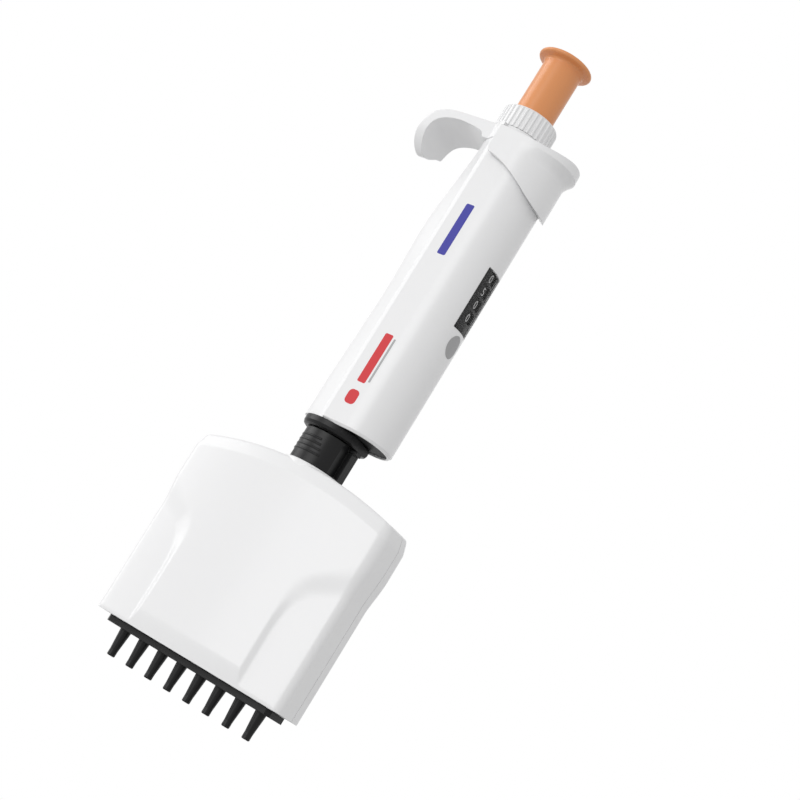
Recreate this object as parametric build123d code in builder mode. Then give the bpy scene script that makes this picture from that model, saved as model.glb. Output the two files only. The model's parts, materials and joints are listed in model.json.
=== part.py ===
"""Eight-channel air-displacement pipette, modelled piece by piece.

Frame, in millimetres: +Z runs up the plunger axis, towards the push button.
The origin is on that axis, in the plane of the nozzle tips. +X runs along the
nozzle row, towards the side that carries the volume display and the thumb lip,
and the finger hook points to -X. Each piece is modelled where it sits at rest,
with the plunger and the tip ejector up, and is written to parts/ as one STEP.
"""

from build123d import *
import math
import os

os.makedirs("parts", exist_ok=True)

# ---------------------------------------------------------------- fits
RUN = 0.06            # radial clearance of a shaft that turns or slides in a hole
GAP = 0.3             # clearance between moving faces that aren't a fit

# ---------------------------------------------------------------- nozzles and channels
NOZZLE_PITCH = 9.0
NOZZLE_COUNT = 8
ROW_X = [(i - (NOZZLE_COUNT - 1) / 2) * NOZZLE_PITCH for i in range(NOZZLE_COUNT)]
TIP_R = 1.475         # land that a disposable tip is pressed onto
TIP_LAND = 2.0
CONE_TOP_R = 2.05
CONE_TOP_Z = 9.6
STEM_R = 2.1
BARREL_R = 2.7
BARREL_TOP = 37.0
PISTON_R = 0.515
AIR_BORE_R = 0.5

# ---------------------------------------------------------------- travels
PLUNGER_STROKE = 15.5
BLOWOUT_STROKE = 3.5
EJECT_STROKE = 6.0
STOP_STROKE = 11.4    # height range of the volume stop, smallest to largest volume

# ---------------------------------------------------------------- head
HEAD_BOTTOM = 12.2
HEAD_TOP = 87.4
HEAD_END = 43.4       # half length along the row
HEAD_MID_Y = -0.5     # the plane that halves the head's thickness
HEAD_HALF_Y = 12.4
HEAD_CROWN_R = 292.0  # the front and rear faces are slightly barrelled
DOME_R = 165.0        # the top is a shallow dome along the row
CORNER_R = 4.2
TOP_BAND = 5.2
TOP_INSET = 2.0
BOTTOM_BAND = 6.4
BOTTOM_INSET = 1.35
GRIP_DEPTH = 1.12     # side grips are sunk this deep
GRIP_X = 24.4
HEAD_WALL = 1.6
SEAM_Y = 2.0
SEAM_GAP = 0.06

BLOCK_Z = (12.6, 17.0)
FLANGE_Z = (17.0, 19.0)
CLAMP_Z = (19.0, 21.0)
SEAL_PLATE_Z = (37.0, 39.0)
BAR_Z = (55.0, 60.0)
YOKE_Z = (68.0, 71.0)
BRIDGE_Z = (76.0, 79.0)
GUIDE_ROD = (36.0, 4.5)
EJECT_ROD = (36.0, -4.5)
GUIDE_R = 1.5
SIDE_ROD_R = 1.2

PLATE_Z = (9.8, 12.1)
PLATE_HALF = (37.6, 6.0)

# ---------------------------------------------------------------- neck and lock nut
NECK_R = 10.36
NECK_IN_R = 7.6
JOURNAL_R = 8.6
NECK_SHOULDER = 100.4
NECK_TOP = 111.5
NECK_FLAT_X = 8.4
NUT_R = 12.6
NUT_Z = (100.7, 104.0)
NUT_FLAT_X = 10.7
SPIGOT_R = 9.9
SPIGOT_TOP = 109.5
COLLAR_R = (4.6, 7.3)  # the ejector collar inside the neck

# ---------------------------------------------------------------- handle
HANDLE_BOTTOM = 104.0
HANDLE_R = 12.6       # half width, and the radius of the rounded front
FRONT_X = 9.0         # centre of the rounded front
CREASE_X = -0.7
FRONT_TOP = 216.0
SPINE_TOP = 221.5
WALL = 1.5
# depth of the spine behind the axis at some heights: a palm swell, a waist, a web rest
SPINE = [(104, 13.9), (114, 13.8), (124, 13.6), (136, 13.2), (148, 12.85), (160, 12.75), (169, 13.1),
         (179, 13.6), (190, 13.3), (201, 12.1), (213, 10.65), (221.5, 10.3)]

WHEEL_X = 12.25       # axis of the counter
WHEEL_R = 8.1
WHEEL_H = 5.0
DIGIT_Z = [176.1, 170.7, 165.3, 159.9]
WINDOW_Z = (153.6, 178.3)
WINDOW_HALF = 5.15
OVAL_Z = 148.0
OVAL = (7.2, 8.7)

FLOOR_Z = (104.6, 107.6)
RING_Z = (118.0, 120.5)
BASE_Z = (122.0, 124.5)
LOWER_Z = (150.0, 152.0)
UPPER_Z = (180.0, 182.0)
GEAR_Z = (203.0, 206.0)
TOP_PLATE_Z = (210.5, 213.0)
BOSS_TOP = 228.4
TUBE_R = (7.6, 8.4)
PUSH_ROD_AT = (3.0, 10.0)
PUSH_ROD_R = 0.8

# ---------------------------------------------------------------- counter gears
MODULE = 0.5
DRIVE_TEETH = 35
PINION_TEETH = 14

# ---------------------------------------------------------------- plunger
ROD_R = 1.5
STEM_BUTTON_R = 7.5
BUTTON_R = 10.6
BUTTON_TOP = 264.6
SLEEVE_R = (STEM_BUTTON_R + RUN, 8.1)
BOSS_R = (SLEEVE_R[1] + RUN, 8.8)
DIAL_R = 10.93
DIAL_Z = (228.8, 238.0)
DIAL_RIBS = 34
ROD_FOOT = 125.3
ROD_TOP = 256.0

# ---------------------------------------------------------------- ejector button
CAP_R = 15.2
CAP_REAR = -0.1
LIP_LENGTH = 18.4     # half length of the thumb lip's oval, from FRONT_X
CAP_ROOF = 222.6


def keep(piece, name):
    """Label one finished piece and write it."""
    piece.part.label = name
    export_step(piece.part, f"parts/{name}.step")


# ================================================================ shared outlines
def front_outline(z, inset):
    """Front part of the handle's section: two flats joined by a half round."""
    r = HANDLE_R - inset
    with BuildSketch(Plane.XY.offset(z)) as outline:
        with BuildLine():
            Line((CREASE_X, -r), (FRONT_X, -r))
            ThreePointArc((FRONT_X, -r), (FRONT_X + r, 0), (FRONT_X, r))
            Polyline((FRONT_X, r), (CREASE_X, r), (CREASE_X, -r))
        make_face()
    return outline.sketch


def spine_outline(z, depth, inset):
    """Rear part of the handle's section: crease, bevel and rounded spine."""
    r = HANDLE_R - inset
    x = -0.61 * depth + 0.75 * inset
    y = 8.9 - 0.8 * inset
    with BuildSketch(Plane.XY.offset(z)) as outline:
        with BuildLine():
            Polyline((CREASE_X, -r), (-2.4, -r + 0.35), (x, -y))
            ThreePointArc((x, -y), (-depth + inset, 0), (x, y))
            Polyline((x, y), (-2.4, r - 0.35), (CREASE_X, r), (CREASE_X, -r))
        make_face()
    return outline.sketch


def head_outline(z, inset):
    """Plan of the head: barrelled front and rear, flat ends, rounded corners."""
    end = HEAD_END - inset
    mid = HEAD_HALF_Y - inset
    edge = mid - end ** 2 / (2 * HEAD_CROWN_R)
    low = HEAD_MID_Y - edge
    high = HEAD_MID_Y + edge
    with BuildSketch(Plane.XY.offset(z)) as outline:
        with BuildLine():
            ThreePointArc((-end, low), (0, HEAD_MID_Y - mid), (end, low))
            Line((end, low), (end, high))
            ThreePointArc((end, high), (0, HEAD_MID_Y + mid), (-end, high))
            Line((-end, high), (-end, low))
        make_face()
        fillet(outline.vertices(), max(CORNER_R - inset, 1.2))
    return outline.sketch


def dome_view(top):
    """Everything below the domed top, seen along Y."""
    half = HEAD_END + 5
    edge = top - half ** 2 / (2 * DOME_R)
    with BuildSketch(Plane.XZ) as view:
        with BuildLine():
            ThreePointArc((-half, edge), (0, top), (half, edge))
            Polyline((half, edge), (half, 0), (-half, 0), (-half, edge))
        make_face()
    return view.sketch


def handle_slab(z, depth, inset=WALL + 0.15):
    """A plate that fills the handle's inside between two heights."""
    extrude(front_outline(z[0], inset), amount=z[1] - z[0])
    extrude(spine_outline(z[0], depth, inset), amount=z[1] - z[0])


def round_bar(radius, z, at=(0, 0), mode=Mode.ADD):
    """A round bar along Z between two heights, or with Mode.SUBTRACT a hole."""
    with Locations((at[0], at[1], z[0])):
        Cylinder(radius, z[1] - z[0], align=(Align.CENTER, Align.CENTER, Align.MIN), mode=mode)


def drill(radius, z, at=(0, 0)):
    """A round hole along Z between two heights."""
    round_bar(radius, z, at, mode=Mode.SUBTRACT)


def tube(radius, bore, z, at=(0, 0)):
    """A round tube along Z between two heights."""
    round_bar(radius, z, at)
    drill(bore, z, at)


def coil(radius, wire, z, turns, at=(0, 0)):
    """A compression spring, as a helix swept between two heights."""
    low = z[0] + wire
    height = z[1] - z[0] - 2 * wire
    with BuildLine(Plane(origin=(at[0], at[1], low))) as line:
        Helix(pitch=height / turns, height=height, radius=radius)
    with BuildSketch(Plane(origin=line.line @ 0, z_dir=line.line % 0)) as section:
        Circle(wire)
    sweep(section.sketch, path=line.line, is_frenet=True)


def mirrored(at):
    """The same place on both sides of the axis along X."""
    return [(-at[0], at[1]), at]


# ================================================================ head: shells
with BuildPart() as head_body:
    extrude(head_outline(HEAD_BOTTOM, 0), amount=HEAD_TOP - HEAD_BOTTOM)
    extrude(dome_view(HEAD_TOP), amount=40, both=True, mode=Mode.INTERSECT)
    dome = head_body.faces().sort_by(Axis.Z)[-1]
    chamfer(dome.edges(), length=TOP_INSET, length2=TOP_BAND, reference=dome)
    foot = head_body.faces().sort_by(Axis.Z)[0]
    chamfer(foot.edges(), length=BOTTOM_INSET, length2=BOTTOM_BAND, reference=foot)
    # raised rim around the neck
    round_bar(NECK_R + 1.5, (HEAD_TOP - 4, HEAD_TOP + 0.8))

with BuildPart() as sunk_body:
    extrude(head_outline(HEAD_BOTTOM - 1, GRIP_DEPTH), amount=HEAD_TOP)

with BuildPart() as grip_zone:
    for side in (1, -1):
        with BuildSketch(Plane.XZ):
            with BuildLine():
                Polyline((side * GRIP_X, 0), (side * GRIP_X, 44), (side * 27, 50), (side * 33, 55),
                         (side * 50, 66), (side * 50, 0), (side * GRIP_X, 0))
            make_face()
        extrude(amount=40, both=True)

with BuildPart() as head_inside:
    extrude(head_outline(HEAD_BOTTOM - 1, GRIP_DEPTH + HEAD_WALL), amount=HEAD_TOP)
    extrude(dome_view(HEAD_TOP - 2.4), amount=40, both=True, mode=Mode.INTERSECT)

with BuildPart() as head_hollow:
    add(head_body.part)
    add((head_body.part - sunk_body.part) & grip_zone.part, mode=Mode.SUBTRACT)
    add(head_inside.part, mode=Mode.SUBTRACT)
    drill(NECK_R + 0.05, (HEAD_TOP - 6, HEAD_TOP + 2))

SCREW_AT = [(x, z) for x in (-27.0, 27.0) for z in (30.0, 73.6)]
FRONT_BOSS_Y = -9.6   # the bosses run into the walls
REAR_BOSS_Y = 8.6
SCREW_SEAT_Y = 8.3
FRONT_SEAM = Plane.XZ.offset(-SEAM_Y + SEAM_GAP)
REAR_SEAM = Plane.XZ.offset(-SEAM_Y - SEAM_GAP)

with BuildPart() as head_front_shell:
    add(head_hollow.part)
    split(bisect_by=FRONT_SEAM, keep=Keep.TOP)
    with BuildSketch(FRONT_SEAM):
        with Locations(SCREW_AT):
            Circle(1.5)
    extrude(amount=SEAM_Y - SEAM_GAP - FRONT_BOSS_Y)
    with BuildSketch(FRONT_SEAM):
        with Locations(SCREW_AT):
            Circle(0.75)
    extrude(amount=7, mode=Mode.SUBTRACT)
keep(head_front_shell, "head_front_shell")

with BuildPart() as head_rear_shell:
    add(head_hollow.part)
    split(bisect_by=REAR_SEAM, keep=Keep.BOTTOM)
    with BuildSketch(REAR_SEAM):
        with Locations(SCREW_AT):
            Circle(1.5)
    extrude(amount=SEAM_Y + SEAM_GAP - REAR_BOSS_Y)
    with BuildSketch(REAR_SEAM):
        with Locations(SCREW_AT):
            Circle(0.8)
    extrude(amount=-12, mode=Mode.SUBTRACT)
    with BuildSketch(Plane.XZ.offset(-SCREW_SEAT_Y)):
        with Locations(SCREW_AT):
            Circle(1.45)
    extrude(amount=-6, mode=Mode.SUBTRACT)
keep(head_rear_shell, "head_rear_shell")

with BuildPart() as head_screws:
    with BuildSketch(Plane.XZ.offset(-SCREW_SEAT_Y)):
        with Locations(SCREW_AT):
            Circle(1.35)
    extrude(amount=-0.9)
    with BuildSketch(Plane.XZ.offset(-SCREW_SEAT_Y)):
        with Locations(SCREW_AT):
            Circle(0.72)
    extrude(amount=11)
    with BuildSketch(Plane.XZ.offset(-SCREW_SEAT_Y - 0.9)):
        with Locations(SCREW_AT):
            RegularPolygon(0.55, 6)
    extrude(amount=0.6, mode=Mode.SUBTRACT)
keep(head_screws, "head_screws")

# ================================================================ head: neck and inner frame
with BuildPart() as neck:
    with BuildSketch(Plane.XY.offset(80)):
        with Locations((0, HEAD_MID_Y)):
            RectangleRounded(34, 17.4, 3)
    extrude(amount=3)
    round_bar(NECK_R, (83.0, NECK_SHOULDER))
    round_bar(JOURNAL_R, (NECK_SHOULDER, NECK_TOP))
    drill(NECK_IN_R, (80.0, NECK_TOP))
    # flat and key on the display side, for the fitting spanner
    with BuildSketch(Plane.XY.offset(HEAD_TOP + 1.2)):
        with Locations((NECK_FLAT_X, 0)):
            Rectangle(4, 30, align=(Align.MIN, Align.CENTER))
    extrude(amount=NECK_SHOULDER - HEAD_TOP - 1.2, mode=Mode.SUBTRACT)
    with BuildSketch(Plane.XY.offset(HEAD_TOP + 1.2)):
        with Locations((NECK_FLAT_X - 0.2, 0)):
            Rectangle(NECK_R - NECK_FLAT_X + 0.2, 2.2, align=(Align.MIN, Align.CENTER))
    extrude(amount=NECK_SHOULDER - HEAD_TOP - 1.2)
    with BuildSketch(Plane.XY.offset(NECK_SHOULDER - 1.2)):
        with Locations((NECK_FLAT_X - 0.2, 0)):
            Rectangle(3.6, 3.4, align=(Align.MIN, Align.CENTER))
    extrude(amount=1.2)
    # grip beads around the back, each a little longer than the one above
    for i, bead_z in enumerate((97.4, 95.6, 93.8, 92.0)):
        start = 77 - 4 * i
        aim = math.radians(start)
        radial = Plane((0, 0, 0), (math.cos(aim), math.sin(aim), 0), (math.sin(aim), -math.cos(aim), 0))
        with BuildSketch(radial):
            with Locations((NECK_R - 0.38, bead_z)):
                Circle(0.55)
        revolve(axis=Axis.Z, revolution_arc=360 - 2 * start)
    # groove for the retaining clip
    with BuildSketch(Plane.XY.offset(SPIGOT_TOP + 0.2)):
        Circle(JOURNAL_R + 1)
        Circle(JOURNAL_R - 0.5, mode=Mode.SUBTRACT)
    extrude(amount=0.8, mode=Mode.SUBTRACT)
keep(neck, "neck")

with BuildPart() as retaining_clip:
    with BuildSketch(Plane.XY.offset(SPIGOT_TOP + 0.2)):
        Circle(JOURNAL_R + 1.0)
        Circle(JOURNAL_R - 0.5, mode=Mode.SUBTRACT)
        Rectangle(30, 3, align=(Align.MIN, Align.CENTER), mode=Mode.SUBTRACT)
    extrude(amount=0.8)
keep(retaining_clip, "retaining_clip")

with BuildPart() as head_frame:
    with BuildSketch(Plane.XY.offset(BRIDGE_Z[0])):
        Rectangle(77, 13)
        with Locations((0, HEAD_MID_Y)):
            Rectangle(24, 17.4)
    extrude(amount=BRIDGE_Z[1] - BRIDGE_Z[0])
    round_bar(8.7, (BRIDGE_Z[1], 80.0))
    drill(COLLAR_R[1] + GAP, (BRIDGE_Z[0], 80.0))
    for at in mirrored(GUIDE_ROD):
        drill(GUIDE_R, (BRIDGE_Z[0] - 1, BRIDGE_Z[0] + 2), at)
keep(head_frame, "head_frame")

with BuildPart() as guide_rods:
    for at in mirrored(GUIDE_ROD):
        round_bar(GUIDE_R, (CLAMP_Z[0] + 1, BRIDGE_Z[0] + 2), at)
keep(guide_rods, "guide_rods")

# ================================================================ head: channels
with BuildPart() as nozzle_block:
    extrude(head_outline(BLOCK_Z[0], GRIP_DEPTH + HEAD_WALL + 0.15), amount=BLOCK_Z[1] - BLOCK_Z[0])
    for x in ROW_X:
        drill(STEM_R + 0.02, BLOCK_Z, (x, 0))
    for at in mirrored(EJECT_ROD):
        drill(SIDE_ROD_R + RUN, BLOCK_Z, at)
keep(nozzle_block, "nozzle_block")

with BuildPart() as nozzle_clamp:
    with BuildSketch(Plane.XY.offset(CLAMP_Z[0])):
        with Locations((0, HEAD_MID_Y)):
            RectangleRounded(79, 13, 3)
    extrude(amount=CLAMP_Z[1] - CLAMP_Z[0])
    for x in ROW_X:
        drill(BARREL_R + 0.02, CLAMP_Z, (x, 0))
    for at in mirrored(EJECT_ROD):
        drill(SIDE_ROD_R + RUN, CLAMP_Z, at)
    for at in mirrored(GUIDE_ROD):
        drill(GUIDE_R, (CLAMP_Z[0] + 1, CLAMP_Z[1]), at)
keep(nozzle_clamp, "nozzle_clamp")

# one cone, flange and cylinder barrel in a single moulding
with BuildPart() as channel:
    with BuildSketch(Plane.XZ):
        with BuildLine():
            Polyline((AIR_BORE_R, 0), (TIP_R - 0.25, 0), (TIP_R, 0.3), (TIP_R, 0.3 + TIP_LAND),
                     (CONE_TOP_R, CONE_TOP_Z), (STEM_R, CONE_TOP_Z + 0.4), (STEM_R, FLANGE_Z[0]),
                     (3.9, FLANGE_Z[0]), (3.9, FLANGE_Z[1]), (BARREL_R, FLANGE_Z[1]),
                     (BARREL_R, BARREL_TOP), (1.7, BARREL_TOP), (1.7, BARREL_TOP - 3),
                     (PISTON_R + 0.09, BARREL_TOP - 3), (PISTON_R + 0.09, 17.5), (AIR_BORE_R, 17.2),
                     (AIR_BORE_R, 0))
        make_face()
    revolve(axis=Axis.Z)

for number, x in enumerate(ROW_X, start=1):
    with BuildPart(Plane((x, 0, 0))) as nozzle:
        add(channel.part)
    keep(nozzle, f"nozzle_{number}")

with BuildPart() as piston_seals:
    for x in ROW_X:
        tube(1.7, PISTON_R + 0.04, (BARREL_TOP - 3, BARREL_TOP), (x, 0))
keep(piston_seals, "piston_seals")

with BuildPart() as seal_plate:
    with BuildSketch(Plane.XY.offset(SEAL_PLATE_Z[0])):
        RectangleRounded(69, 8, 3)
        with Locations([(x, 0) for x in ROW_X]):
            Circle(PISTON_R + 0.3, mode=Mode.SUBTRACT)
    extrude(amount=SEAL_PLATE_Z[1] - SEAL_PLATE_Z[0])
keep(seal_plate, "seal_plate")

# ================================================================ head: piston carriage
with BuildPart() as piston_bar:
    with BuildSketch(Plane.XY.offset(BAR_Z[0])):
        with Locations((0, 1.7)):
            RectangleRounded(76, 8.6, 1.5)
    extrude(amount=BAR_Z[1] - BAR_Z[0])
    for at in mirrored(GUIDE_ROD):
        drill(GUIDE_R + RUN, BAR_Z, at)
    for x in ROW_X:
        drill(PISTON_R, (BAR_Z[0], BAR_Z[0] + 2.5), (x, 0))
        drill(1.6, (BAR_Z[0] + 2.5, BAR_Z[1]), (x, 0))
keep(piston_bar, "piston_bar")

with BuildPart() as pistons:
    for x in ROW_X:
        round_bar(PISTON_R, (BARREL_TOP - 3.5, BAR_Z[0] + 2.5), (x, 0))
        round_bar(1.6, (BAR_Z[0] + 2.5, BAR_Z[0] + 4), (x, 0))
keep(pistons, "pistons")

with BuildPart() as push_rod:
    round_bar(2.5, (BAR_Z[1], ROD_FOOT - GAP))
    round_bar(4.0, (BAR_Z[1], BAR_Z[1] + 1.5))
keep(push_rod, "push_rod")

with BuildPart() as bar_springs:
    for at in mirrored(GUIDE_ROD):
        coil(1.95, 0.25, (CLAMP_Z[1], BAR_Z[0]), 12, at)
keep(bar_springs, "bar_springs")

# ================================================================ head: tip ejector
with BuildPart() as ejector_plate:
    with BuildSketch(Plane.XY.offset(PLATE_Z[0])) as plate_outline:
        Rectangle(2 * PLATE_HALF[0], 2 * PLATE_HALF[1])
        chamfer(plate_outline.vertices(), 1.6)
        with Locations([(x, 0) for x in ROW_X]):
            Circle(STEM_R + 0.4, mode=Mode.SUBTRACT)
    extrude(amount=PLATE_Z[1] - PLATE_Z[0])
keep(ejector_plate, "ejector_plate")

with BuildPart() as ejector_side_rods:
    for at in mirrored(EJECT_ROD):
        round_bar(SIDE_ROD_R, (PLATE_Z[1], YOKE_Z[0]), at)
keep(ejector_side_rods, "ejector_side_rods")

with BuildPart() as ejector_yoke:
    with BuildSketch(Plane.XY.offset(YOKE_Z[0])):
        with Locations((0, -2.2)):
            RectangleRounded(76, 8.6, 1.5)
        Circle(COLLAR_R[1] + 1)
    extrude(amount=YOKE_Z[1] - YOKE_Z[0])
    round_bar(COLLAR_R[1], (YOKE_Z[1], RING_Z[0] - GAP))
    drill(COLLAR_R[0], (YOKE_Z[0], RING_Z[0]))
keep(ejector_yoke, "ejector_yoke")

# ================================================================ handle: shell
def spine_body(inset, top, mode):
    """The spine lofted through its sections, from the bottom to a height."""
    loft([spine_outline(z, d, inset) for z, d in SPINE if z <= top], mode=mode)


with BuildPart() as handle_shell:
    extrude(front_outline(HANDLE_BOTTOM, 0), amount=FRONT_TOP - HANDLE_BOTTOM)
    foot = handle_shell.faces().sort_by(Axis.Z)[0]
    chamfer(foot.edges().filter_by(lambda edge: edge.center().X > 0), 0.8)
    spine_body(0, SPINE_TOP, Mode.ADD)
    extrude(front_outline(HANDLE_BOTTOM, WALL), amount=FRONT_TOP - HANDLE_BOTTOM, mode=Mode.SUBTRACT)
    spine_body(WALL, TOP_PLATE_Z[1], Mode.SUBTRACT)
    # above the top plate the spine only makes room for the boss
    drill(BOSS_R[1] + 0.05, (SPINE[-2][0], SPINE_TOP))
    # the counter's wheels reach into the front wall, behind the window
    drill(WHEEL_R + 0.45, (WINDOW_Z[0] - 1.1, UPPER_Z[0]), (WHEEL_X, 0))
    with BuildSketch(Plane.YZ.offset(FRONT_X + 2)):
        with Locations((0, (WINDOW_Z[0] + WINDOW_Z[1]) / 2)):
            Rectangle(2 * WINDOW_HALF, WINDOW_Z[1] - WINDOW_Z[0])
        with Locations((0, OVAL_Z)):
            Ellipse(OVAL[0] / 2, OVAL[1] / 2)
    extrude(amount=HANDLE_R, mode=Mode.SUBTRACT)
keep(handle_shell, "handle_shell")


def front_panel(outer, inner, outline, depth=HANDLE_R):
    """A panel that follows the rounded front between two radii, cut to an outline."""
    round_bar(outer, (OVAL_Z - 10, UPPER_Z[1]), (FRONT_X, 0))
    drill(inner, (OVAL_Z - 10, UPPER_Z[1]), (FRONT_X, 0))
    extrude(outline, amount=depth, mode=Mode.INTERSECT)


with BuildSketch(Plane.YZ.offset(FRONT_X + 2)) as window_view:
    with Locations((0, (WINDOW_Z[0] + WINDOW_Z[1]) / 2)):
        Rectangle(2 * WINDOW_HALF, WINDOW_Z[1] - WINDOW_Z[0])

with BuildSketch(Plane.YZ.offset(FRONT_X + 2)) as oval_view:
    with Locations((0, OVAL_Z)):
        Ellipse(OVAL[0] / 2, OVAL[1] / 2)

with BuildPart() as window_lens:
    front_panel(HANDLE_R, HANDLE_R - 0.55, window_view.sketch)
keep(window_lens, "window_lens")

with BuildPart() as window_bezel:
    front_panel(HANDLE_R - 0.55, HANDLE_R - 0.95, window_view.sketch)
    with BuildSketch(Plane.YZ.offset(FRONT_X + 2)):
        with Locations([(0, z) for z in DIGIT_Z]):
            Rectangle(5.4, 4.4)
    extrude(amount=HANDLE_R, mode=Mode.SUBTRACT)
keep(window_bezel, "window_bezel")

with BuildPart() as calibration_cover:
    front_panel(HANDLE_R + 0.05, HANDLE_R - 1.3, oval_view.sketch)
keep(calibration_cover, "calibration_cover")

# ================================================================ handle: floor, nut, inner frame
with BuildPart() as handle_floor:
    handle_slab(FLOOR_Z, SPINE[0][1] - 0.2)
    drill(SPIGOT_R, FLOOR_Z)
keep(handle_floor, "handle_floor")

with BuildPart() as lock_nut:
    with BuildSketch(Plane.XZ):
        with BuildLine():
            Polyline((JOURNAL_R + RUN, NUT_Z[0]), (NUT_R - 1.3, NUT_Z[0]), (NUT_R - 0.35, NUT_Z[0] + 0.5),
                     (NUT_R, NUT_Z[0] + 1.4), (NUT_R, NUT_Z[1]), (SPIGOT_R, NUT_Z[1]),
                     (SPIGOT_R, SPIGOT_TOP), (JOURNAL_R + RUN, SPIGOT_TOP), (JOURNAL_R + RUN, NUT_Z[0]))
        make_face()
    revolve(axis=Axis.Z)
    with BuildSketch(Plane.XY.offset(NUT_Z[0])):
        with Locations((NUT_FLAT_X, 0)):
            Rectangle(5, 30, align=(Align.MIN, Align.CENTER))
    extrude(amount=NUT_Z[1] - NUT_Z[0], mode=Mode.SUBTRACT)
keep(lock_nut, "lock_nut")

with BuildPart() as mechanism_frame:
    handle_slab(BASE_Z, 13.4)
    handle_slab(LOWER_Z, 11.9)
    handle_slab(UPPER_Z, 12.7)
    round_bar(TUBE_R[1], (BASE_Z[0], LOWER_Z[1]))
    drill(TUBE_R[0], (BASE_Z[1], LOWER_Z[0]))
    with BuildSketch(Plane.XY.offset(BASE_Z[0])):
        with Locations((-10.2, 0)):
            Rectangle(1.5, 6, align=(Align.MIN, Align.CENTER))
    extrude(amount=UPPER_Z[1] - BASE_Z[0])
    # boss for the calibration screw
    with BuildSketch(Plane.YZ.offset(TUBE_R[1] - 0.6)):
        with Locations((0, OVAL_Z - 0.6)):
            Rectangle(6, 6)
    extrude(amount=8)
    with BuildSketch(Plane.YZ.offset(TUBE_R[1] + 1)):
        with Locations((0, OVAL_Z)):
            Circle(1.5)
    extrude(amount=8, mode=Mode.SUBTRACT)
    drill(2.5 + GAP, BASE_Z)
    drill(ROD_R + 0.5, LOWER_Z)
    drill(3.4, UPPER_Z)
    for plate in (LOWER_Z, UPPER_Z):
        drill(1.0 + RUN, plate, (WHEEL_X, 0))
    drill(0.9, UPPER_Z, (-7, 0))
    for plate in (BASE_Z, LOWER_Z, UPPER_Z):
        for side in (1, -1):
            drill(PUSH_ROD_R + RUN, plate, (PUSH_ROD_AT[0], side * PUSH_ROD_AT[1]))
keep(mechanism_frame, "mechanism_frame")

with BuildPart() as calibration_screw:
    with BuildSketch(Plane.YZ.offset(TUBE_R[1] + 2)):
        with Locations((0, OVAL_Z)):
            Circle(1.5)
    extrude(amount=5.4)
    with BuildSketch(Plane.YZ.offset(TUBE_R[1] + 7.4)):
        with Locations((0, OVAL_Z)):
            Circle(1.8)
    extrude(amount=2)
    with BuildSketch(Plane.YZ.offset(TUBE_R[1] + 8.2)):
        with Locations((0, OVAL_Z)):
            RegularPolygon(0.9, 6)
    extrude(amount=2, mode=Mode.SUBTRACT)
keep(calibration_screw, "calibration_screw")

with BuildPart() as handle_top:
    handle_slab(TOP_PLATE_Z, 10.65)
    round_bar(BOSS_R[1], (TOP_PLATE_Z[0], BOSS_TOP))
    drill(BOSS_R[0], (TOP_PLATE_Z[0], BOSS_TOP))
    round_bar(1.6, (TOP_PLATE_Z[1], FRONT_TOP - 0.4), (15.5, 0))
    for side in (1, -1):
        drill(PUSH_ROD_R + RUN, TOP_PLATE_Z, (PUSH_ROD_AT[0], side * PUSH_ROD_AT[1]))
keep(handle_top, "handle_top")

# ================================================================ handle: finger hook
HOOK_HALF_Y = 9.9
HOOK_TOP = 228.6

with BuildPart() as finger_hook:
    with BuildSketch(Plane.XZ) as blade:
        with BuildLine():
            Line((CREASE_X, HOOK_TOP), (-20, HOOK_TOP))
            Spline((-20, HOOK_TOP), (-27.5, 228.0), (-31.8, 226.0), (-34.4, 221.5), (-35.1, 215.5), (-34.6, 210),
                   tangents=((-1, 0), (0.2, -1)))
            ThreePointArc((-34.6, 210), (-32.7, 208.2), (-31.6, 210.4))
            Spline((-31.6, 210.4), (-31.3, 216.5), (-29.4, 222.1), (-24, 224.7), (-16, 224.8), (-10, 223.6),
                   (-8.2, SPINE_TOP), tangents=((0, 1), (0.3, -1)))
            Polyline((-8.2, SPINE_TOP), (CREASE_X, SPINE_TOP), (CREASE_X, HOOK_TOP))
        make_face()
    extrude(amount=HOOK_HALF_Y, both=True)
    outer_edges = finger_hook.edges().filter_by(GeomType.BSPLINE).filter_by(
        lambda edge: edge.center().Z > 216 and edge.center().X < -30)
    fillet(outer_edges, 1.1)
    # the tip is a rounded tongue
    with BuildSketch(Plane.YZ.offset(-40)):
        with BuildLine():
            Spline((-HOOK_HALF_Y, 222), (-8, 215.2), (0, 210.9), (8, 215.2), (HOOK_HALF_Y, 222),
                   tangents=((0, -1), (0, 1)))
            Polyline((HOOK_HALF_Y, 222), (HOOK_HALF_Y + 1, 222), (HOOK_HALF_Y + 1, 230), (-HOOK_HALF_Y - 1, 230),
                     (-HOOK_HALF_Y - 1, 222), (-HOOK_HALF_Y, 222))
        make_face()
    extrude(amount=40, mode=Mode.INTERSECT)
    extrude(spine_outline(SPINE_TOP, SPINE[-1][1], -0.25), amount=HOOK_TOP - SPINE_TOP)
    # a ring carries the dial's foot on round to the display side
    round_bar(DIAL_R - 0.1, (226.4, HOOK_TOP))
    drill(BOSS_R[1] + 0.05, (SPINE_TOP, HOOK_TOP))
keep(finger_hook, "finger_hook")

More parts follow.
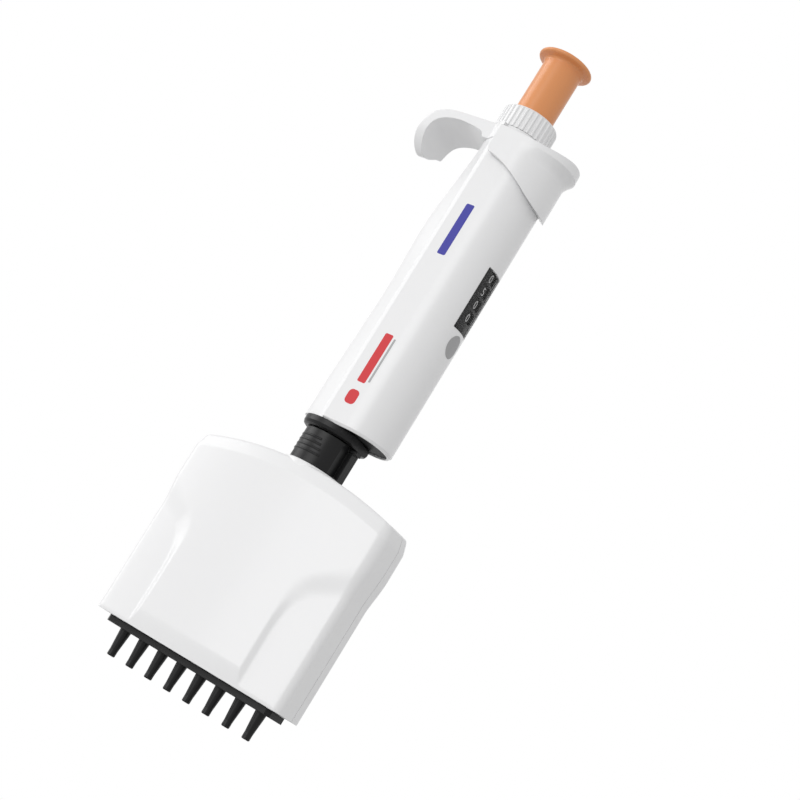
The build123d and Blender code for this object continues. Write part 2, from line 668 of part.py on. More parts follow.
# ================================================================ volume setting
def gear_outline(z, teeth, slim=0.055, addendum=0.8, dedendum=1.15, turn=0.0):
    """A spur gear with involute flanks, its teeth thinned for backlash."""
    pitch_r = MODULE * teeth / 2
    base_r = pitch_r * math.cos(math.radians(20))
    root_r = pitch_r - dedendum * MODULE
    tip_r = pitch_r + addendum * MODULE
    involute = lambda r: math.tan(math.acos(min(base_r / r, 1))) - math.acos(min(base_r / r, 1))
    radii = [max(base_r, root_r) + (tip_r - max(base_r, root_r)) * i / 5 for i in range(6)]
    half = lambda r: math.pi / (2 * teeth) - slim / pitch_r + involute(pitch_r) - involute(r)
    points = []
    for tooth in range(teeth):
        centre = 2 * math.pi * tooth / teeth + turn
        flank = [(root_r, half(radii[0]))] + [(r, half(r)) for r in radii]
        for r, a in flank:
            points.append((r * math.cos(centre - a), r * math.sin(centre - a)))
        for r, a in reversed(flank):
            points.append((r * math.cos(centre + a), r * math.sin(centre + a)))
    with BuildSketch(Plane.XY.offset(z)) as outline:
        with BuildLine():
            Polyline(*points, close=True)
        make_face()
    return outline.sketch


with BuildPart() as drive_gear:
    extrude(gear_outline(GEAR_Z[0], DRIVE_TEETH), amount=GEAR_Z[1] - GEAR_Z[0])
    drill(ROD_R + RUN, GEAR_Z)
keep(drive_gear, "drive_gear")

with BuildPart(Plane((WHEEL_X, 0, 0))) as counter_pinion:
    pinion = gear_outline(GEAR_Z[0], PINION_TEETH, turn=math.pi / PINION_TEETH)
    extrude(Pos(WHEEL_X, 0, 0) * pinion, amount=GEAR_Z[1] - GEAR_Z[0])
    drill(1.0, GEAR_Z)
keep(counter_pinion, "counter_pinion")

with BuildPart() as dial_sleeve:
    tube(SLEEVE_R[1], SLEEVE_R[0], (GEAR_Z[1], DIAL_Z[1] - 1.6))
keep(dial_sleeve, "dial_sleeve")

with BuildPart() as lead_screw:
    tube(3.4, ROD_R + 0.3, (188.0, GEAR_Z[0]))
    for i in range(14):
        with BuildSketch(Plane.XZ):
            with Locations((3.4, 188.8 + i)):
                RegularPolygon(0.25, 4)
        revolve(axis=Axis.Z, mode=Mode.SUBTRACT)
keep(lead_screw, "lead_screw")

with BuildPart() as volume_dial:
    with BuildSketch(Plane.XY.offset(DIAL_Z[0])):
        Circle(DIAL_R - 0.4)
        with PolarLocations(DIAL_R - 0.5, DIAL_RIBS):
            Circle(0.5)
    extrude(amount=DIAL_Z[1] - DIAL_Z[0])
    with BuildSketch(Plane.XZ):
        with BuildLine():
            Polyline((0, DIAL_Z[0]), (DIAL_R, DIAL_Z[0]), (DIAL_R, DIAL_Z[1] - 1.8))
            ThreePointArc((DIAL_R, DIAL_Z[1] - 1.8), (DIAL_R - 0.5, DIAL_Z[1] - 0.55), (DIAL_R - 1.8, DIAL_Z[1]))
            Polyline((DIAL_R - 1.8, DIAL_Z[1]), (0, DIAL_Z[1]), (0, DIAL_Z[0]))
        make_face()
    revolve(axis=Axis.Z, mode=Mode.INTERSECT)
    drill(SLEEVE_R[1], (DIAL_Z[0], DIAL_Z[1] - 1.6))
    drill(STEM_BUTTON_R + GAP, (DIAL_Z[0], DIAL_Z[1]))
keep(volume_dial, "volume_dial")

STOP_Z = (188.3, 191.3)

with BuildPart() as volume_stop:
    round_bar(5.2, STOP_Z)
    with BuildSketch(Plane.XY.offset(STOP_Z[0])):
        with Locations((-8.2, 0)):
            Rectangle(5, 3.4, align=(Align.MIN, Align.CENTER))
    extrude(amount=STOP_Z[1] - STOP_Z[0])
    drill(3.4 + RUN, STOP_Z)
    drill(0.9 + RUN, STOP_Z, (-7, 0))
keep(volume_stop, "volume_stop")

with BuildPart() as stop_guide_pin:
    round_bar(0.9, (UPPER_Z[0], GEAR_Z[0] - GAP), (-7, 0))
keep(stop_guide_pin, "stop_guide_pin")

# ================================================================ counter
with BuildPart() as counter_shaft:
    round_bar(1.0, (LOWER_Z[0] + 0.4, GEAR_Z[1]), (WHEEL_X, 0))
keep(counter_shaft, "counter_shaft")


def drum(z, bore):
    """A digit wheel: rim, web and hub."""
    at = (WHEEL_X, 0)
    low = (z - WHEEL_H / 2, z + WHEEL_H / 2)
    tube(WHEEL_R, WHEEL_R - 1.2, low, at)
    tube(WHEEL_R - 1.2, 2.6, (z - 0.6, z + 0.6), at)
    tube(2.6, bore, low, at)


for number, z in enumerate(DIGIT_Z[:3], start=1):
    with BuildPart() as digit_wheel:
        drum(z, 1.0 if number == 3 else 1.0 + RUN)
    keep(digit_wheel, f"digit_wheel_{number}")

with BuildPart() as fixed_zero_ring:
    drum(DIGIT_Z[3], 1.0 + GAP)
    with BuildSketch(Plane.XY.offset(LOWER_Z[1])):
        with Locations((WHEEL_X, 0)):
            Circle(2.6)
            Circle(1.0 + GAP, mode=Mode.SUBTRACT)
    extrude(amount=DIGIT_Z[3] - WHEEL_H / 2 - LOWER_Z[1])
keep(fixed_zero_ring, "fixed_zero_ring")

# ================================================================ plunger
with BuildPart() as push_button:
    with BuildSketch(Plane.XZ):
        with BuildLine():
            Polyline((0, ROD_TOP), (ROD_R, ROD_TOP), (ROD_R, 244), (3, 244), (3, ROD_TOP), (6.2, ROD_TOP),
                     (6.2, 222.3), (STEM_BUTTON_R, 222.3), (STEM_BUTTON_R, 260.4))
            ThreePointArc((STEM_BUTTON_R, 260.4), (STEM_BUTTON_R + 0.35, 261.25), (STEM_BUTTON_R + 1.2, 261.6))
            Line((STEM_BUTTON_R + 1.2, 261.6), (BUTTON_R - 0.6, 261.9))
            ThreePointArc((BUTTON_R - 0.6, 261.9), (BUTTON_R, 262.7), (BUTTON_R - 0.7, 263.5))
            TangentArc((0, BUTTON_TOP), (BUTTON_R - 0.7, 263.5), tangent=(1, 0))
            Line((0, BUTTON_TOP), (0, ROD_TOP))
        make_face()
    revolve(axis=Axis.Z)
keep(push_button, "push_button")

with BuildPart() as plunger_rod:
    round_bar(ROD_R, (ROD_FOOT, ROD_TOP))
keep(plunger_rod, "plunger_rod")

with BuildPart() as rod_stop_ring:
    tube(3.0, ROD_R, (185.7, STOP_Z[0] - 0.6))
keep(rod_stop_ring, "rod_stop_ring")

SPRING_COLLAR_Z = (146.3, 148.3)
WASHER_Z = (132.6, 134.0)

with BuildPart() as spring_collar:
    tube(7.0, ROD_R, SPRING_COLLAR_Z)
keep(spring_collar, "spring_collar")

with BuildPart() as blowout_washer:
    tube(7.2, 4.6, WASHER_Z)
keep(blowout_washer, "blowout_washer")

with BuildPart() as primary_spring:
    coil(3.4, 0.35, (BASE_Z[1], SPRING_COLLAR_Z[0]), 7)
keep(primary_spring, "primary_spring")

with BuildPart() as blowout_spring:
    coil(6.1, 0.45, (BASE_Z[1], WASHER_Z[0]), 3.5)
keep(blowout_spring, "blowout_spring")

# ================================================================ tip ejector, handle side
def cap_outline(z, length, half):
    """Plan of the ejector button: two flats joined by half an ellipse."""
    with BuildSketch(Plane.XY.offset(z)) as outline:
        with Locations((FRONT_X, 0)):
            Ellipse(length, half)
            Rectangle(40, 40, align=(Align.MIN, Align.CENTER), mode=Mode.INTERSECT)
        with Locations((CAP_REAR, 0)):
            Rectangle(FRONT_X - CAP_REAR, 2 * half, align=(Align.MIN, Align.CENTER))
    return outline.sketch


with BuildPart() as ejector_button:
    extrude(cap_outline(200, CAP_R + 0.02, CAP_R), amount=17.4)
    loft([cap_outline(217.4, CAP_R + 0.02, CAP_R), cap_outline(220.2, CAP_R + 0.8, CAP_R),
          cap_outline(222.2, LIP_LENGTH, CAP_R)])
    extrude(cap_outline(222.2, LIP_LENGTH, CAP_R), amount=4.8)
    # side view: dished top, and a lower edge that sweeps down to a front tongue
    with BuildSketch(Plane.XZ):
        with BuildLine():
            Spline((CAP_REAR, 225.9), (7, 225.3), (19, 224.3), (FRONT_X + LIP_LENGTH + 0.2, 225.8))
            Line((FRONT_X + LIP_LENGTH + 0.2, 225.8), (FRONT_X + LIP_LENGTH + 0.2, 202.9))
            Line((FRONT_X + LIP_LENGTH + 0.2, 202.9), (24.8, 203.4))
            Spline((24.8, 203.4), (21, 205.2), (16.3, 208.2), (9.3, 212.0), (2.2, 214.6))
            ThreePointArc((2.2, 214.6), (0.6, 215.4), (CAP_REAR, 217.2))
            Line((CAP_REAR, 217.2), (CAP_REAR, 225.9))
        make_face()
    extrude(amount=CAP_R + 2, both=True, mode=Mode.INTERSECT)
    extrude(front_outline(200, -0.35), amount=CAP_ROOF - 200, mode=Mode.SUBTRACT)
    drill(BOSS_R[1] + 0.4, (CAP_ROOF - 1, 230))
keep(ejector_button, "ejector_button")

with BuildPart() as ejector_push_rods:
    for side in (1, -1):
        round_bar(PUSH_ROD_R, (RING_Z[1], CAP_ROOF), (PUSH_ROD_AT[0], side * PUSH_ROD_AT[1]))
keep(ejector_push_rods, "ejector_push_rods")

with BuildPart() as ejector_ring:
    with BuildSketch(Plane.XY.offset(RING_Z[0])):
        Circle(9.2)
        with Locations((PUSH_ROD_AT[0], 0)):
            Rectangle(3, 21.7)
        Circle(COLLAR_R[0], mode=Mode.SUBTRACT)
    extrude(amount=RING_Z[1] - RING_Z[0])
keep(ejector_ring, "ejector_ring")

with BuildPart() as ejector_spring:
    coil(2.4, 0.3, (TOP_PLATE_Z[1], CAP_ROOF), 5, (15.5, 0))
keep(ejector_spring, "ejector_spring")
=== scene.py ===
import json
import math

import bpy
import numpy as np
from mathutils import Matrix, Vector


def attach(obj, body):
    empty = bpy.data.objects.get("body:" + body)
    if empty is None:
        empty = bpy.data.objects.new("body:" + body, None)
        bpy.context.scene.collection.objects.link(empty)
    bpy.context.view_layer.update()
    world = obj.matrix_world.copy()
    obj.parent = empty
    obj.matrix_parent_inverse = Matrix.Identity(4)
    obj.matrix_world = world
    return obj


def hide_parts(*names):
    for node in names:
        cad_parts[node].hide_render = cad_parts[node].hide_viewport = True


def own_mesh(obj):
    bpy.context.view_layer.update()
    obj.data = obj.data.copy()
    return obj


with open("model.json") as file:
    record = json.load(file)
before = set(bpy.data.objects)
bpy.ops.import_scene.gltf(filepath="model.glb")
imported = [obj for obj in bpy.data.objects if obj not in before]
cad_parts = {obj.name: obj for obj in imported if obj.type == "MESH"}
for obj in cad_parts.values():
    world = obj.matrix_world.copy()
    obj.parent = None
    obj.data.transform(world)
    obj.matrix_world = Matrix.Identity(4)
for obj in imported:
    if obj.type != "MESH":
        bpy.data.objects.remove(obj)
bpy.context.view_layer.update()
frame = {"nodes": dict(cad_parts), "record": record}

nodes = frame["nodes"]
MM = 0.001


# ---------------------------------------------------------------- materials
def plastic(name, color, rough, coat=0.0, bump=0.0, scale=900.0, bevel=0.0, spec=0.5, vary=0.04):
    """A moulded plastic: slightly uneven roughness, an optional fine grain and soft edges."""
    mat = bpy.data.materials.new(name)
    mat.use_nodes = True
    tree = mat.node_tree
    bsdf = tree.nodes["Principled BSDF"]
    bsdf.inputs["Base Color"].default_value = (*color, 1)
    bsdf.inputs["Specular IOR Level"].default_value = spec
    bsdf.inputs["Coat Weight"].default_value = coat
    bsdf.inputs["Coat Roughness"].default_value = 0.12
    where = tree.nodes.new("ShaderNodeTexCoord")
    noise = tree.nodes.new("ShaderNodeTexNoise")
    noise.inputs["Scale"].default_value = scale
    noise.inputs["Detail"].default_value = 4
    tree.links.new(where.outputs["Object"], noise.inputs["Vector"])
    ramp = tree.nodes.new("ShaderNodeMapRange")
    ramp.inputs["To Min"].default_value = rough - vary
    ramp.inputs["To Max"].default_value = rough + vary
    tree.links.new(noise.outputs["Fac"], ramp.inputs["Value"])
    tree.links.new(ramp.outputs["Result"], bsdf.inputs["Roughness"])
    normal = None
    if bevel:
        edge = tree.nodes.new("ShaderNodeBevel")
        edge.samples = 6
        edge.inputs["Radius"].default_value = bevel
        normal = edge.outputs["Normal"]
    if bump:
        grain = tree.nodes.new("ShaderNodeBump")
        grain.inputs["Strength"].default_value = bump
        grain.inputs["Distance"].default_value = 0.00002
        tree.links.new(noise.outputs["Fac"], grain.inputs["Height"])
        if normal:
            tree.links.new(normal, grain.inputs["Normal"])
        normal = grain.outputs["Normal"]
    if normal:
        tree.links.new(normal, bsdf.inputs["Normal"])
    return mat


def metal(name, color, rough):
    """A turned or drawn metal with a fine grain."""
    mat = plastic(name, color, rough, scale=2500.0, bevel=0.0001, bump=0.1)
    mat.node_tree.nodes["Principled BSDF"].inputs["Metallic"].default_value = 1.0
    return mat


MATERIALS = {
    "white_shell": plastic("white_shell", (0.83, 0.83, 0.835), 0.3, coat=0.15, bevel=0.0003),
    "black_plastic": plastic("black_plastic", (0.008, 0.008, 0.0085), 0.34, bump=0.15, bevel=0.00025,
                             spec=0.28),
    "orange_button": plastic("orange_button", (0.74, 0.30, 0.115), 0.3, coat=0.12, bevel=0.0003, spec=0.35),
    "grey_cover": plastic("grey_cover", (0.38, 0.38, 0.385), 0.45),
    "dark_floor": plastic("dark_floor", (0.03, 0.03, 0.031), 0.55, bump=0.2, spec=0.2),
    "inner_plastic": plastic("inner_plastic", (0.55, 0.56, 0.58), 0.45),
    "wheel_black": plastic("wheel_black", (0.006, 0.006, 0.006), 0.5, spec=0.12),
    "seal_rubber": plastic("seal_rubber", (0.02, 0.02, 0.02), 0.7),
    "steel": metal("steel", (0.62, 0.62, 0.64), 0.28),
    "spring_steel": metal("spring_steel", (0.5, 0.5, 0.52), 0.33),
    "brass_gear": metal("brass_gear", (0.72, 0.55, 0.26), 0.32),
}
DIGITS = plastic("digit_print", (0.55, 0.55, 0.55), 0.5)
BLUE = plastic("blue_print", (0.028, 0.028, 0.33), 0.4)
RED = plastic("red_print", (0.62, 0.012, 0.02), 0.4)


def plain(name, sockets):
    """A material with nothing but constants on its shader."""
    mat = bpy.data.materials.new(name)
    mat.use_nodes = True
    bsdf = mat.node_tree.nodes["Principled BSDF"]
    for socket, value in sockets.items():
        bsdf.inputs[socket].default_value = value
    return mat


MATERIALS["clear_lens"] = plain("clear_lens", {
    "Base Color": (1, 1, 1, 1),
    "Roughness": 0.06,
    "IOR": 1.2,
    "Alpha": 0.02,
    "Specular IOR Level": 0.12})


def paint(obj, mat, smooth=30.0):
    """Gives a mesh one material and shades it smooth up to an angle."""
    obj.data.materials.clear()
    obj.data.materials.append(mat)
    for face in obj.data.polygons:
        face.use_smooth = True
    obj.data.set_sharp_from_angle(angle=math.radians(smooth))


for part in frame["record"]["subparts"]:
    paint(nodes[part["node"]], MATERIALS[part["material_slot"]])


def add_mesh(name, verts, faces, mat, body, smooth=30.0):
    """A new visual mesh in the row frame, in metres, riding on a CAD body."""
    mesh = bpy.data.meshes.new(name)
    mesh.from_pydata([tuple(v) for v in verts], [], faces)
    mesh.validate()
    obj = bpy.data.objects.new(name, mesh)
    bpy.context.scene.collection.objects.link(obj)
    paint(obj, mat, smooth)
    if body:
        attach(obj, body)
    return obj


# ---------------------------------------------------------------- head shells
# all in millimetres: the outline's half length, middle, half thickness, face radius and corner radius
END, MID_Y, HALF_Y, CROWN_R, CORNER = 43.4, -0.5, 12.4, 292.0, 4.2
BOTTOM, TOP, DOME_R = 12.2, 87.4, 165.0
WALL, ROOF = 1.6, 2.4
# inset and height of the band at the foot and of the band under the dome, and the dome's last rounding
FOOT_INSET, FOOT_HEIGHT = 1.35, 6.4
SHOULDER_INSET, SHOULDER_HEIGHT = 1.55, 5.2
ROUND_INSET, ROUND_FROM = 0.45, 0.86
# the ends taper a little towards the foot
TAPER_INSET, TAPER_FROM, TAPER_RUN, TAPER_TOP, TAPER_HEIGHT = 0.55, 39, 8, 52, 40
# depth of the side grips, and their outer and inner edges as (distance along the outline, height)
GRIP = 1.12
OUTER = [(60, 70.9), (50, 70.6), (45, 68.6), (39.4, 64.7), (31.3, 59.3), (26.6, 56.3), (24.2, 53.4),
         (22.9, 50), (22.4, 46), (22.6, 38), (22.8, 0)]
INNER = [(60, 55.2), (50, 55.0), (45, 53.9), (39.4, 52.3), (35.5, 50.8), (31.6, 48.7), (28.7, 45.6),
         (27.1, 42.1), (26.1, 38), (25.7, 34), (25.8, 0)]


def dome(x):
    """Height of the domed top at x."""
    return TOP - DOME_R + np.sqrt(DOME_R ** 2 - x ** 2)


def quarter_outline(step):
    """Points and outward normals from the middle of the front face to the middle of the +X end."""
    yc = HALF_Y - (END - CORNER) ** 2 / (2 * CROWN_R)
    slope = (END - CORNER) / CROWN_R
    cy = yc - CORNER * math.sqrt(1 + slope ** 2)
    tilt = math.atan(slope)
    x_tangent = END - CORNER + CORNER * math.sin(tilt)
    points = []
    for x in np.linspace(0, x_tangent, int(x_tangent / step)):
        n = np.array([x / CROWN_R, -1.0])
        points.append((x, -(HALF_Y - x * x / (2 * CROWN_R)), *(n / np.linalg.norm(n))))
    for a in np.linspace(tilt, math.pi / 2, 14)[1:]:
        nx, ny = math.sin(a), math.cos(a)
        points.append((END - CORNER + CORNER * nx, -(cy + CORNER * ny), nx, -ny))
    for y in np.linspace(-cy, 0, 12)[1:]:
        points.append((END, y, 1.0, 0.0))
    return np.array(points)


def polyline_distance(px, pz, line):
    """Distance from each point to a polyline, negative on the side away from the sunk grip."""
    best = np.full(px.shape, 1e9)
    sign = np.ones(px.shape)
    for (x0, z0), (x1, z1) in zip(line, line[1:]):
        dx, dz = x1 - x0, z1 - z0
        t = np.clip(((px - x0) * dx + (pz - z0) * dz) / (dx * dx + dz * dz), 0, 1)
        ex, ez = px - x0 - t * dx, pz - z0 - t * dz
        d = np.hypot(ex, ez)
        near = d < best
        best = np.where(near, d, best)
        sign = np.where(near, np.sign(dx * ez - dz * ex), sign)
    return best * sign


def head_ring(step):
    """The whole outline with normals, the distance along it from a face's middle, and two counts."""
    quarter = quarter_outline(step)
    along = np.concatenate([[0], np.cumsum(np.hypot(*np.diff(quarter[:, :2], axis=0).T))])
    right = np.concatenate([quarter, quarter[-2::-1] * [1, -1, 1, -1]])
    along = np.concatenate([along, along[-2::-1]])
    ring = np.concatenate([right, right[-2:0:-1] * [-1, 1, -1, 1]])
    along = np.concatenate([along, along[-2:0:-1]])
    return ring, along, len(quarter), len(right)


def grip_share(along, z):
    """How far a point has sunk into a side grip, from 0 outside it to 1 on its floor."""
    from_outer = polyline_distance(along, z, OUTER)
    from_inner = polyline_distance(along, z, INNER)
    into = np.clip(from_outer, 0, None)
    share = into / np.clip(into + np.clip(-from_inner, 0, None), 1e-6, None)
    share = share * share * (3 - 2 * share)
    return np.where(from_outer <= 0, 0, share)


def outside_inset(along, z, high):
    """How far each point of the outside lies within the plain outline."""
    sunk = GRIP * grip_share(along, z)
    near_end = np.clip((along - TAPER_FROM) / TAPER_RUN, 0, 1)
    sunk = sunk + TAPER_INSET * near_end * np.clip((TAPER_TOP - z) / TAPER_HEIGHT, 0, 1)
    foot = FOOT_INSET * np.clip((BOTTOM + FOOT_HEIGHT - z) / FOOT_HEIGHT, 0, 1) ** 1.25
    from_top = np.clip((z - (high - SHOULDER_HEIGHT)) / SHOULDER_HEIGHT, 0, 1)
    rounding = np.clip((from_top - ROUND_FROM) / (1 - ROUND_FROM), 0, 1) ** 2.2
    shoulder = SHOULDER_INSET * from_top ** 1.15 + ROUND_INSET * rounding
    return np.maximum(sunk, foot) + shoulder


def head_faces(rows, count, n, half):
    """Faces of the walls, the top and the foot. The top is spanned across Y, so it keeps its curve."""
    faces = []
    for r in range(rows - 1):
        for c in range(count):
            d = (c + 1) % count
            faces.append((r * count + c, r * count + d, (r + 1) * count + d, (r + 1) * count + c))
    top = (rows - 1) * count
    front = [top + i for i in range(n)]
    back = [top + half - 1 - i for i in range(n)]
    for i in range(n - 2):
        faces.append((front[i], front[i + 1], back[i + 1], back[i]))
    faces.append((front[n - 2], front[n - 1], back[n - 2]))
    left_front = [top] + [top + count - 1 - i for i in range(n - 1)]
    left_back = [top + half - 1 + i for i in range(n)]
    for i in range(n - 2):
        faces.append((left_front[i + 1], left_front[i], left_back[i], left_back[i + 1]))
    faces.append((left_front[n - 1], left_front[n - 2], left_back[n - 2]))
    faces.append(tuple(range(count - 1, -1, -1)))
    return faces


def head_mesh(name, step, levels, low, high_at, inset_at):
    """A closed mesh on the head's outline, between a flat foot and a domed top, drawn in by an inset."""
    ring, along, n, half = head_ring(step)
    rows = len(levels)
    x, y, nx, ny = (np.tile(ring[:, i], (rows, 1)) for i in range(4))
    high = high_at(np.abs(ring[:, 0]))
    z = low + (high - low) * levels[:, None]
    inset = inset_at(np.tile(along, (rows, 1)), z, high)
    verts = np.stack([x - nx * inset, y - ny * inset + MID_Y, z], -1).reshape(-1, 3) * MM
    return add_mesh(name, verts, head_faces(rows, len(ring), n, half), MATERIALS["white_shell"], None)


def cut(obj, cutter):
    """Takes one mesh out of another, and removes the cutter."""
    mod = obj.modifiers.new("cut", "BOOLEAN")
    mod.operation = "DIFFERENCE"
    mod.solver = "EXACT"
    mod.object = cutter
    evaluated = obj.evaluated_get(bpy.context.evaluated_depsgraph_get())
    mesh = bpy.data.meshes.new_from_object(evaluated)
    obj.modifiers.clear()
    obj.data = mesh
    drop(cutter)


def drop(obj):
    """Removes an object that was only needed on the way."""
    bpy.data.objects.remove(obj, do_unlink=True)


def cylinder(name, radius, z0, z1, segments):
    """A closed upright cylinder on the Z axis, in millimetres."""
    verts, faces = [], []
    for z in (z0, z1):
        for i in range(segments):
            a = 2 * math.pi * i / segments
            verts.append((radius * math.cos(a) * MM, radius * math.sin(a) * MM, z * MM))
    for i in range(segments):
        j = (i + 1) % segments
        faces.append((i, j, segments + j, segments + i))
    faces.append(tuple(range(segments - 1, -1, -1)))
    faces.append(tuple(range(segments, 2 * segments)))
    return add_mesh(name, verts, faces, MATERIALS["white_shell"], None)


def cuboid(name, lo, hi):
    """A closed box between two corners, in millimetres."""
    xs, ys, zs = zip(lo, hi)
    verts = [(x * MM, y * MM, z * MM) for x in xs for y in ys for z in zs]
    faces = [(0, 1, 3, 2), (4, 6, 7, 5), (0, 4, 5, 1), (2, 3, 7, 6), (0, 2, 6, 4), (1, 5, 7, 3)]
    return add_mesh(name, verts, faces, MATERIALS["white_shell"], None)


outside_levels = np.concatenate([np.linspace(0, 0.1, 16), np.linspace(0.1, 0.9, 120)[1:],
                                 np.linspace(0.9, 1, 22)[1:]])
body = head_mesh("head_outside", 0.45, outside_levels, BOTTOM,
                 lambda x: dome(np.clip(x, 0, END - 2)), outside_inset)
hollow = head_mesh("head_hollow", 2.0, np.linspace(0, 1, 3), BOTTOM - 3,
                   lambda x: dome(x) - ROOF, lambda along, z, high: GRIP + WALL)
neck_hole = cylinder("neck_hole", 10.41, 78, 95, 128)
cut(body, hollow)
cut(body, neck_hole)

SEAM_Y, SEAM_HALF_GAP = 2.0, 0.06
SCREWS = [(x, z) for x in (-27.0, 27.0) for z in (30.0, 73.6)]
SEAT_R, SEAT_DEPTH, SEAT_Y = 1.45, 6, 8.3


def shell_skin(name, node, cut_low, cut_high, seats):
    """One half of the head: what is left of it past a cut, with seats for screws."""
    shell = bpy.data.objects.new(name, body.data.copy())
    bpy.context.scene.collection.objects.link(shell)
    cut(shell, cuboid("half", cut_low, cut_high))
    for x, z in seats:
        seat = cylinder("seat", SEAT_R, 0, SEAT_DEPTH, 40)
        place = Matrix.Translation((x * MM, SEAT_Y * MM, z * MM))
        seat.data.transform(place @ Matrix.Rotation(-math.pi / 2, 4, "X"))
        cut(shell, seat)
    paint(shell, MATERIALS["white_shell"], 25)
    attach(shell, "head")
    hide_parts(node)


shell_skin("front_shell_skin", "head_front_shell", (-60, SEAM_Y - SEAM_HALF_GAP, 0), (60, 40, 100), [])
shell_skin("rear_shell_skin", "head_rear_shell", (-60, -40, 0), (60, SEAM_Y + SEAM_HALF_GAP, 100), SCREWS)
drop(body)


def lathe(name, profile, mat, body_name, segments=160):
    """A closed ring turned about a vertical axis from (radius, z) pairs in millimetres."""
    verts, faces = [], []
    for i in range(segments):
        a = 2 * math.pi * i / segments
        for r, z in profile:
            verts.append((r * math.cos(a) * MM, r * math.sin(a) * MM, z * MM))
    n = len(profile)
    for i in range(segments):
        j = (i + 1) % segments
        for k in range(n):
            m = (k + 1) % n
            faces.append((i * n + k, j * n + k, j * n + m, i * n + m))
    return add_mesh(name, verts, faces, mat, body_name)


RIM = [(10.42, 85.2), (11.9, 85.2), (11.9, 87.4), (11.82, 87.75), (11.6, 88.0), (11.3, 88.1), (10.9, 88.1),
       (10.6, 88.0), (10.42, 87.8)]
rim = lathe("neck_rim", RIM, MATERIALS["white_shell"], "head")


# ---------------------------------------------------------------- counter numerals and prints
def text_mesh(string, height):
    """Vertices (in millimetres, centred) and faces of flat text."""
    curve = bpy.data.curves.new("numeral", "FONT")
    curve.body = string
    curve.size = height
    curve.align_x = "CENTER"
    curve.align_y = "CENTER"
    curve.resolution_u = 4
    obj = bpy.data.objects.new("numeral", curve)
    bpy.context.scene.collection.objects.link(obj)
    bpy.context.view_layer.update()
    mesh = bpy.data.meshes.new_from_object(obj.evaluated_get(bpy.context.evaluated_depsgraph_get()))
    verts = np.array([v.co[:] for v in mesh.vertices])
    faces = [tuple(p.vertices) for p in mesh.polygons]
    drop(obj)
    lo, hi = verts.min(0), verts.max(0)
    verts = verts - (lo + hi) / 2
    return verts, faces, hi - lo


GLYPHS = {d: text_mesh(str(d), 4.4) for d in range(10)}
WHEEL_X, WHEEL_R = 12.25, 8.1
DIGIT_WIDTH, DIGIT_HEIGHT, NARROWEST, RAISED = 1.75, 3.1, 1.6, 0.02
DEGREES_PER_DIGIT = 36


def numerals(name, z, shown, body_name, digits=range(10)):
    """The numerals round one digit wheel, laid on its rim."""
    verts, faces = [], []
    for d in digits:
        flat, polys, span = GLYPHS[d]
        base = len(verts)
        middle = math.radians(DEGREES_PER_DIGIT * (d - shown))
        for x, y, _ in flat:
            a = middle + (x * DIGIT_WIDTH / max(span[0], NARROWEST)) / WHEEL_R
            r = WHEEL_R + RAISED
            height = z + y * DIGIT_HEIGHT / span[1]
            verts.append(((WHEEL_X + r * math.cos(a)) * MM, r * math.sin(a) * MM, height * MM))
        faces += [tuple(base + i for i in f) for f in polys]
    return add_mesh(name, verts, faces, DIGITS, body_name)


numerals("numerals_1", 176.1, 0, "slow_wheel")
numerals("numerals_2", 170.7, 5, "middle_wheel")
numerals("numerals_3", 165.3, 0, "fast_wheel")
numerals("numeral_fixed", 159.9, 0, "handle", digits=(0,))


FRONT_MIDDLE_X = 9.0


def plate_on_front(name, y0, y1, z0, z1, mat, radius, thick=0.03, steps=10):
    """A thin print on the rounded front of the handle."""
    verts, faces = [], []
    for i in range(steps + 1):
        y = y0 + (y1 - y0) * i / steps
        for r in (radius, radius + thick):
            x = FRONT_MIDDLE_X + math.sqrt(r * r - y * y)
            verts += [(x * MM, y * MM, z0 * MM), (x * MM, y * MM, z1 * MM)]
    for i in range(steps):
        a, b = 4 * i, 4 * (i + 1)
        faces += [(a + 2, b + 2, b + 3, a + 3), (a, a + 1, b + 1, b)]
        faces += [(a, b, b + 2, a + 2), (a + 1, a + 3, b + 3, b + 1)]
    last = 4 * steps
    faces += [(0, 2, 3, 1), (last, last + 1, last + 3, last + 2)]
    return add_mesh(name, verts, faces, mat, "handle")


plate_on_front("decimal_line", -2.4, 2.4, 173.3, 173.5, DIGITS, 11.62)


def flat_print(name, x0, x1, z0, z1, mat, corner=0.6, y=-12.6, thick=0.03):
    """A thin rounded rectangle on the handle's flat side, at -Y."""
    points = []
    corners = ((x1 - corner, z1 - corner, 0), (x0 + corner, z1 - corner, 90),
               (x0 + corner, z0 + corner, 180), (x1 - corner, z0 + corner, 270))
    for cx, cz, start in corners:
        for i in range(7):
            a = math.radians(start + 15 * i)
            points.append((cx + corner * math.cos(a), cz + corner * math.sin(a)))
    n = len(points)
    verts = [(x * MM, depth * MM, z * MM) for depth in (y, y - thick) for x, z in points]
    faces = [tuple(range(n)), tuple(range(2 * n - 1, n - 1, -1))]
    faces += [(i, n + i, n + (i + 1) % n, (i + 1) % n) for i in range(n)]
    return add_mesh(name, verts, faces, mat, "handle")


flat_print("blue_band", 3.6, 7.0, 173.5, 194.5, BLUE)
flat_print("red_band", 3.4, 6.8, 120.5, 140.0, RED)
flat_print("grey_band", 7.6, 8.4, 121.5, 139.0, MATERIALS["grey_cover"], corner=0.35)
flat_print("red_mark", 3.0, 7.4, 112.0, 117.4, RED, corner=1.6)


def closing_spring(node, body):
    """A copy of a CAD spring, painted spring steel and riding on a body in place of the CAD part."""
    coils = bpy.data.objects.new(node + "_coils", nodes[node].data.copy())
    bpy.context.scene.collection.objects.link(coils)
    paint(coils, MATERIALS["spring_steel"], 30.0)
    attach(coils, body)
    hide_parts(node)
    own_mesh(coils)


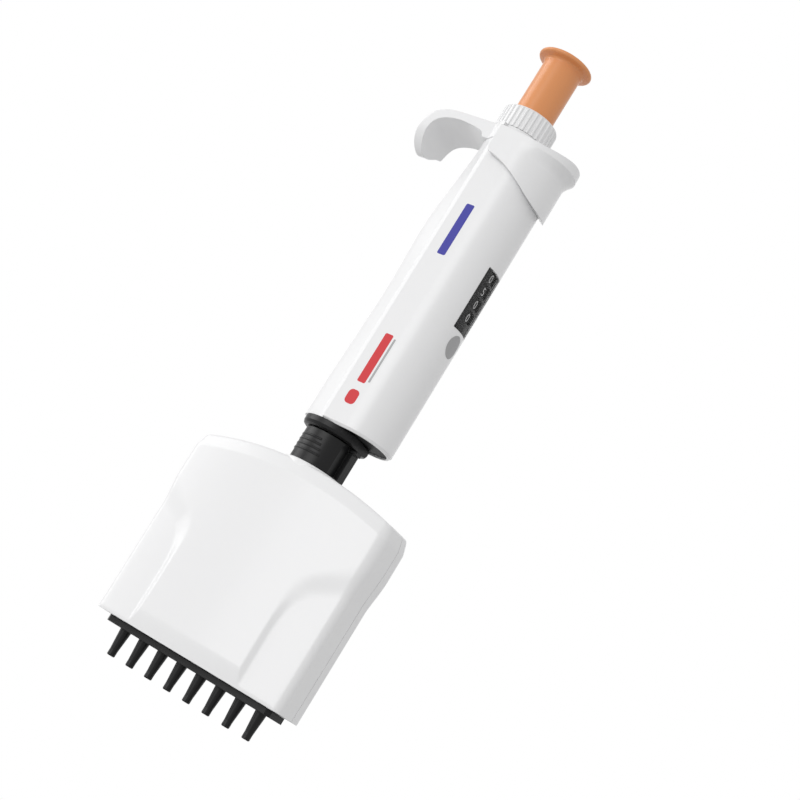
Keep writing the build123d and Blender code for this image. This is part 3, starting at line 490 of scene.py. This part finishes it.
closing_spring("primary_spring", "handle")
closing_spring("blowout_spring", "handle")
closing_spring("ejector_spring", "handle")
closing_spring("bar_springs", "head")

# ---------------------------------------------------------------- stage, light and camera
def panel(name, half, z, mat):
    """A square panel, in metres."""
    verts = [(-half, -half, z), (half, -half, z), (half, half, z), (-half, half, z)]
    return add_mesh(name, verts, [(0, 1, 2, 3)], mat, None)


floor_mat = plain("backdrop", {"Base Color": (0.7, 0.7, 0.7, 1), "Roughness": 0.9})
floor = panel("floor", 6, -0.6, floor_mat)

# a white card far behind the object, for a plain white ground
card_mat = plain("white_card", {
    "Base Color": (0, 0, 0, 1),
    "Roughness": 1.0,
    "Specular IOR Level": 0.0,
    "Emission Color": (1, 1, 1, 1),
    "Emission Strength": 1.0})
card_at = Vector((-1.6, 2.5, 0.75))
card = panel("card", 1.6, 0, card_mat)
card.matrix_world = Matrix.Translation(card_at) @ (-card_at).to_track_quat("Z", "Y").to_matrix().to_4x4()

world = bpy.data.worlds.new("studio")
bpy.context.scene.world = world
world.use_nodes = True
background = world.node_tree.nodes["Background"]
background.inputs["Color"].default_value = (1, 1, 1, 1)
background.inputs["Strength"].default_value = 0.72


def sun(name, toward, strength, spread):
    """A soft distant lamp that shines along a direction."""
    data = bpy.data.lights.new(name, "SUN")
    data.energy = strength
    data.angle = math.radians(spread)
    lamp = bpy.data.objects.new(name, data)
    bpy.context.scene.collection.objects.link(lamp)
    lamp.rotation_mode = "QUATERNION"
    lamp.rotation_quaternion = Vector(toward).to_track_quat("-Z", "Y")


sun("front", (0.20, 0.97, -0.05), 0.95, 40)
sun("left", (0.90, 0.35, -0.25), 0.85, 40)

# the camera is level with the nozzles, looks slightly upward, and is rolled so that the handle leans right
CAMERA_AT = Vector((0.313295, -0.469833, 0.006879))
FORWARD = Vector((-0.52547, 0.82575, 0.20499)).normalized()
LEVEL_RIGHT = Vector((0.8437, 0.5369, 0)).normalized()
ROLL = math.radians(31.5)
SENSOR, FOCAL_SHARE = 36, 2.081875
level_up = LEVEL_RIGHT.cross(FORWARD).normalized()
up = math.cos(ROLL) * level_up - math.sin(ROLL) * LEVEL_RIGHT
right = FORWARD.cross(up).normalized()
up = right.cross(FORWARD).normalized()
camera_data = bpy.data.cameras.new("camera")
camera = bpy.data.objects.new("camera", camera_data)
bpy.context.scene.collection.objects.link(camera)
camera_data.sensor_width = SENSOR
camera_data.lens = SENSOR * FOCAL_SHARE
camera_data.clip_start = 0.01
camera.matrix_world = Matrix((
    (right.x, up.x, -FORWARD.x, CAMERA_AT.x),
    (right.y, up.y, -FORWARD.y, CAMERA_AT.y),
    (right.z, up.z, -FORWARD.z, CAMERA_AT.z),
    (0, 0, 0, 1)))
bpy.context.scene.camera = camera
bpy.context.scene.view_settings.view_transform = "Standard"
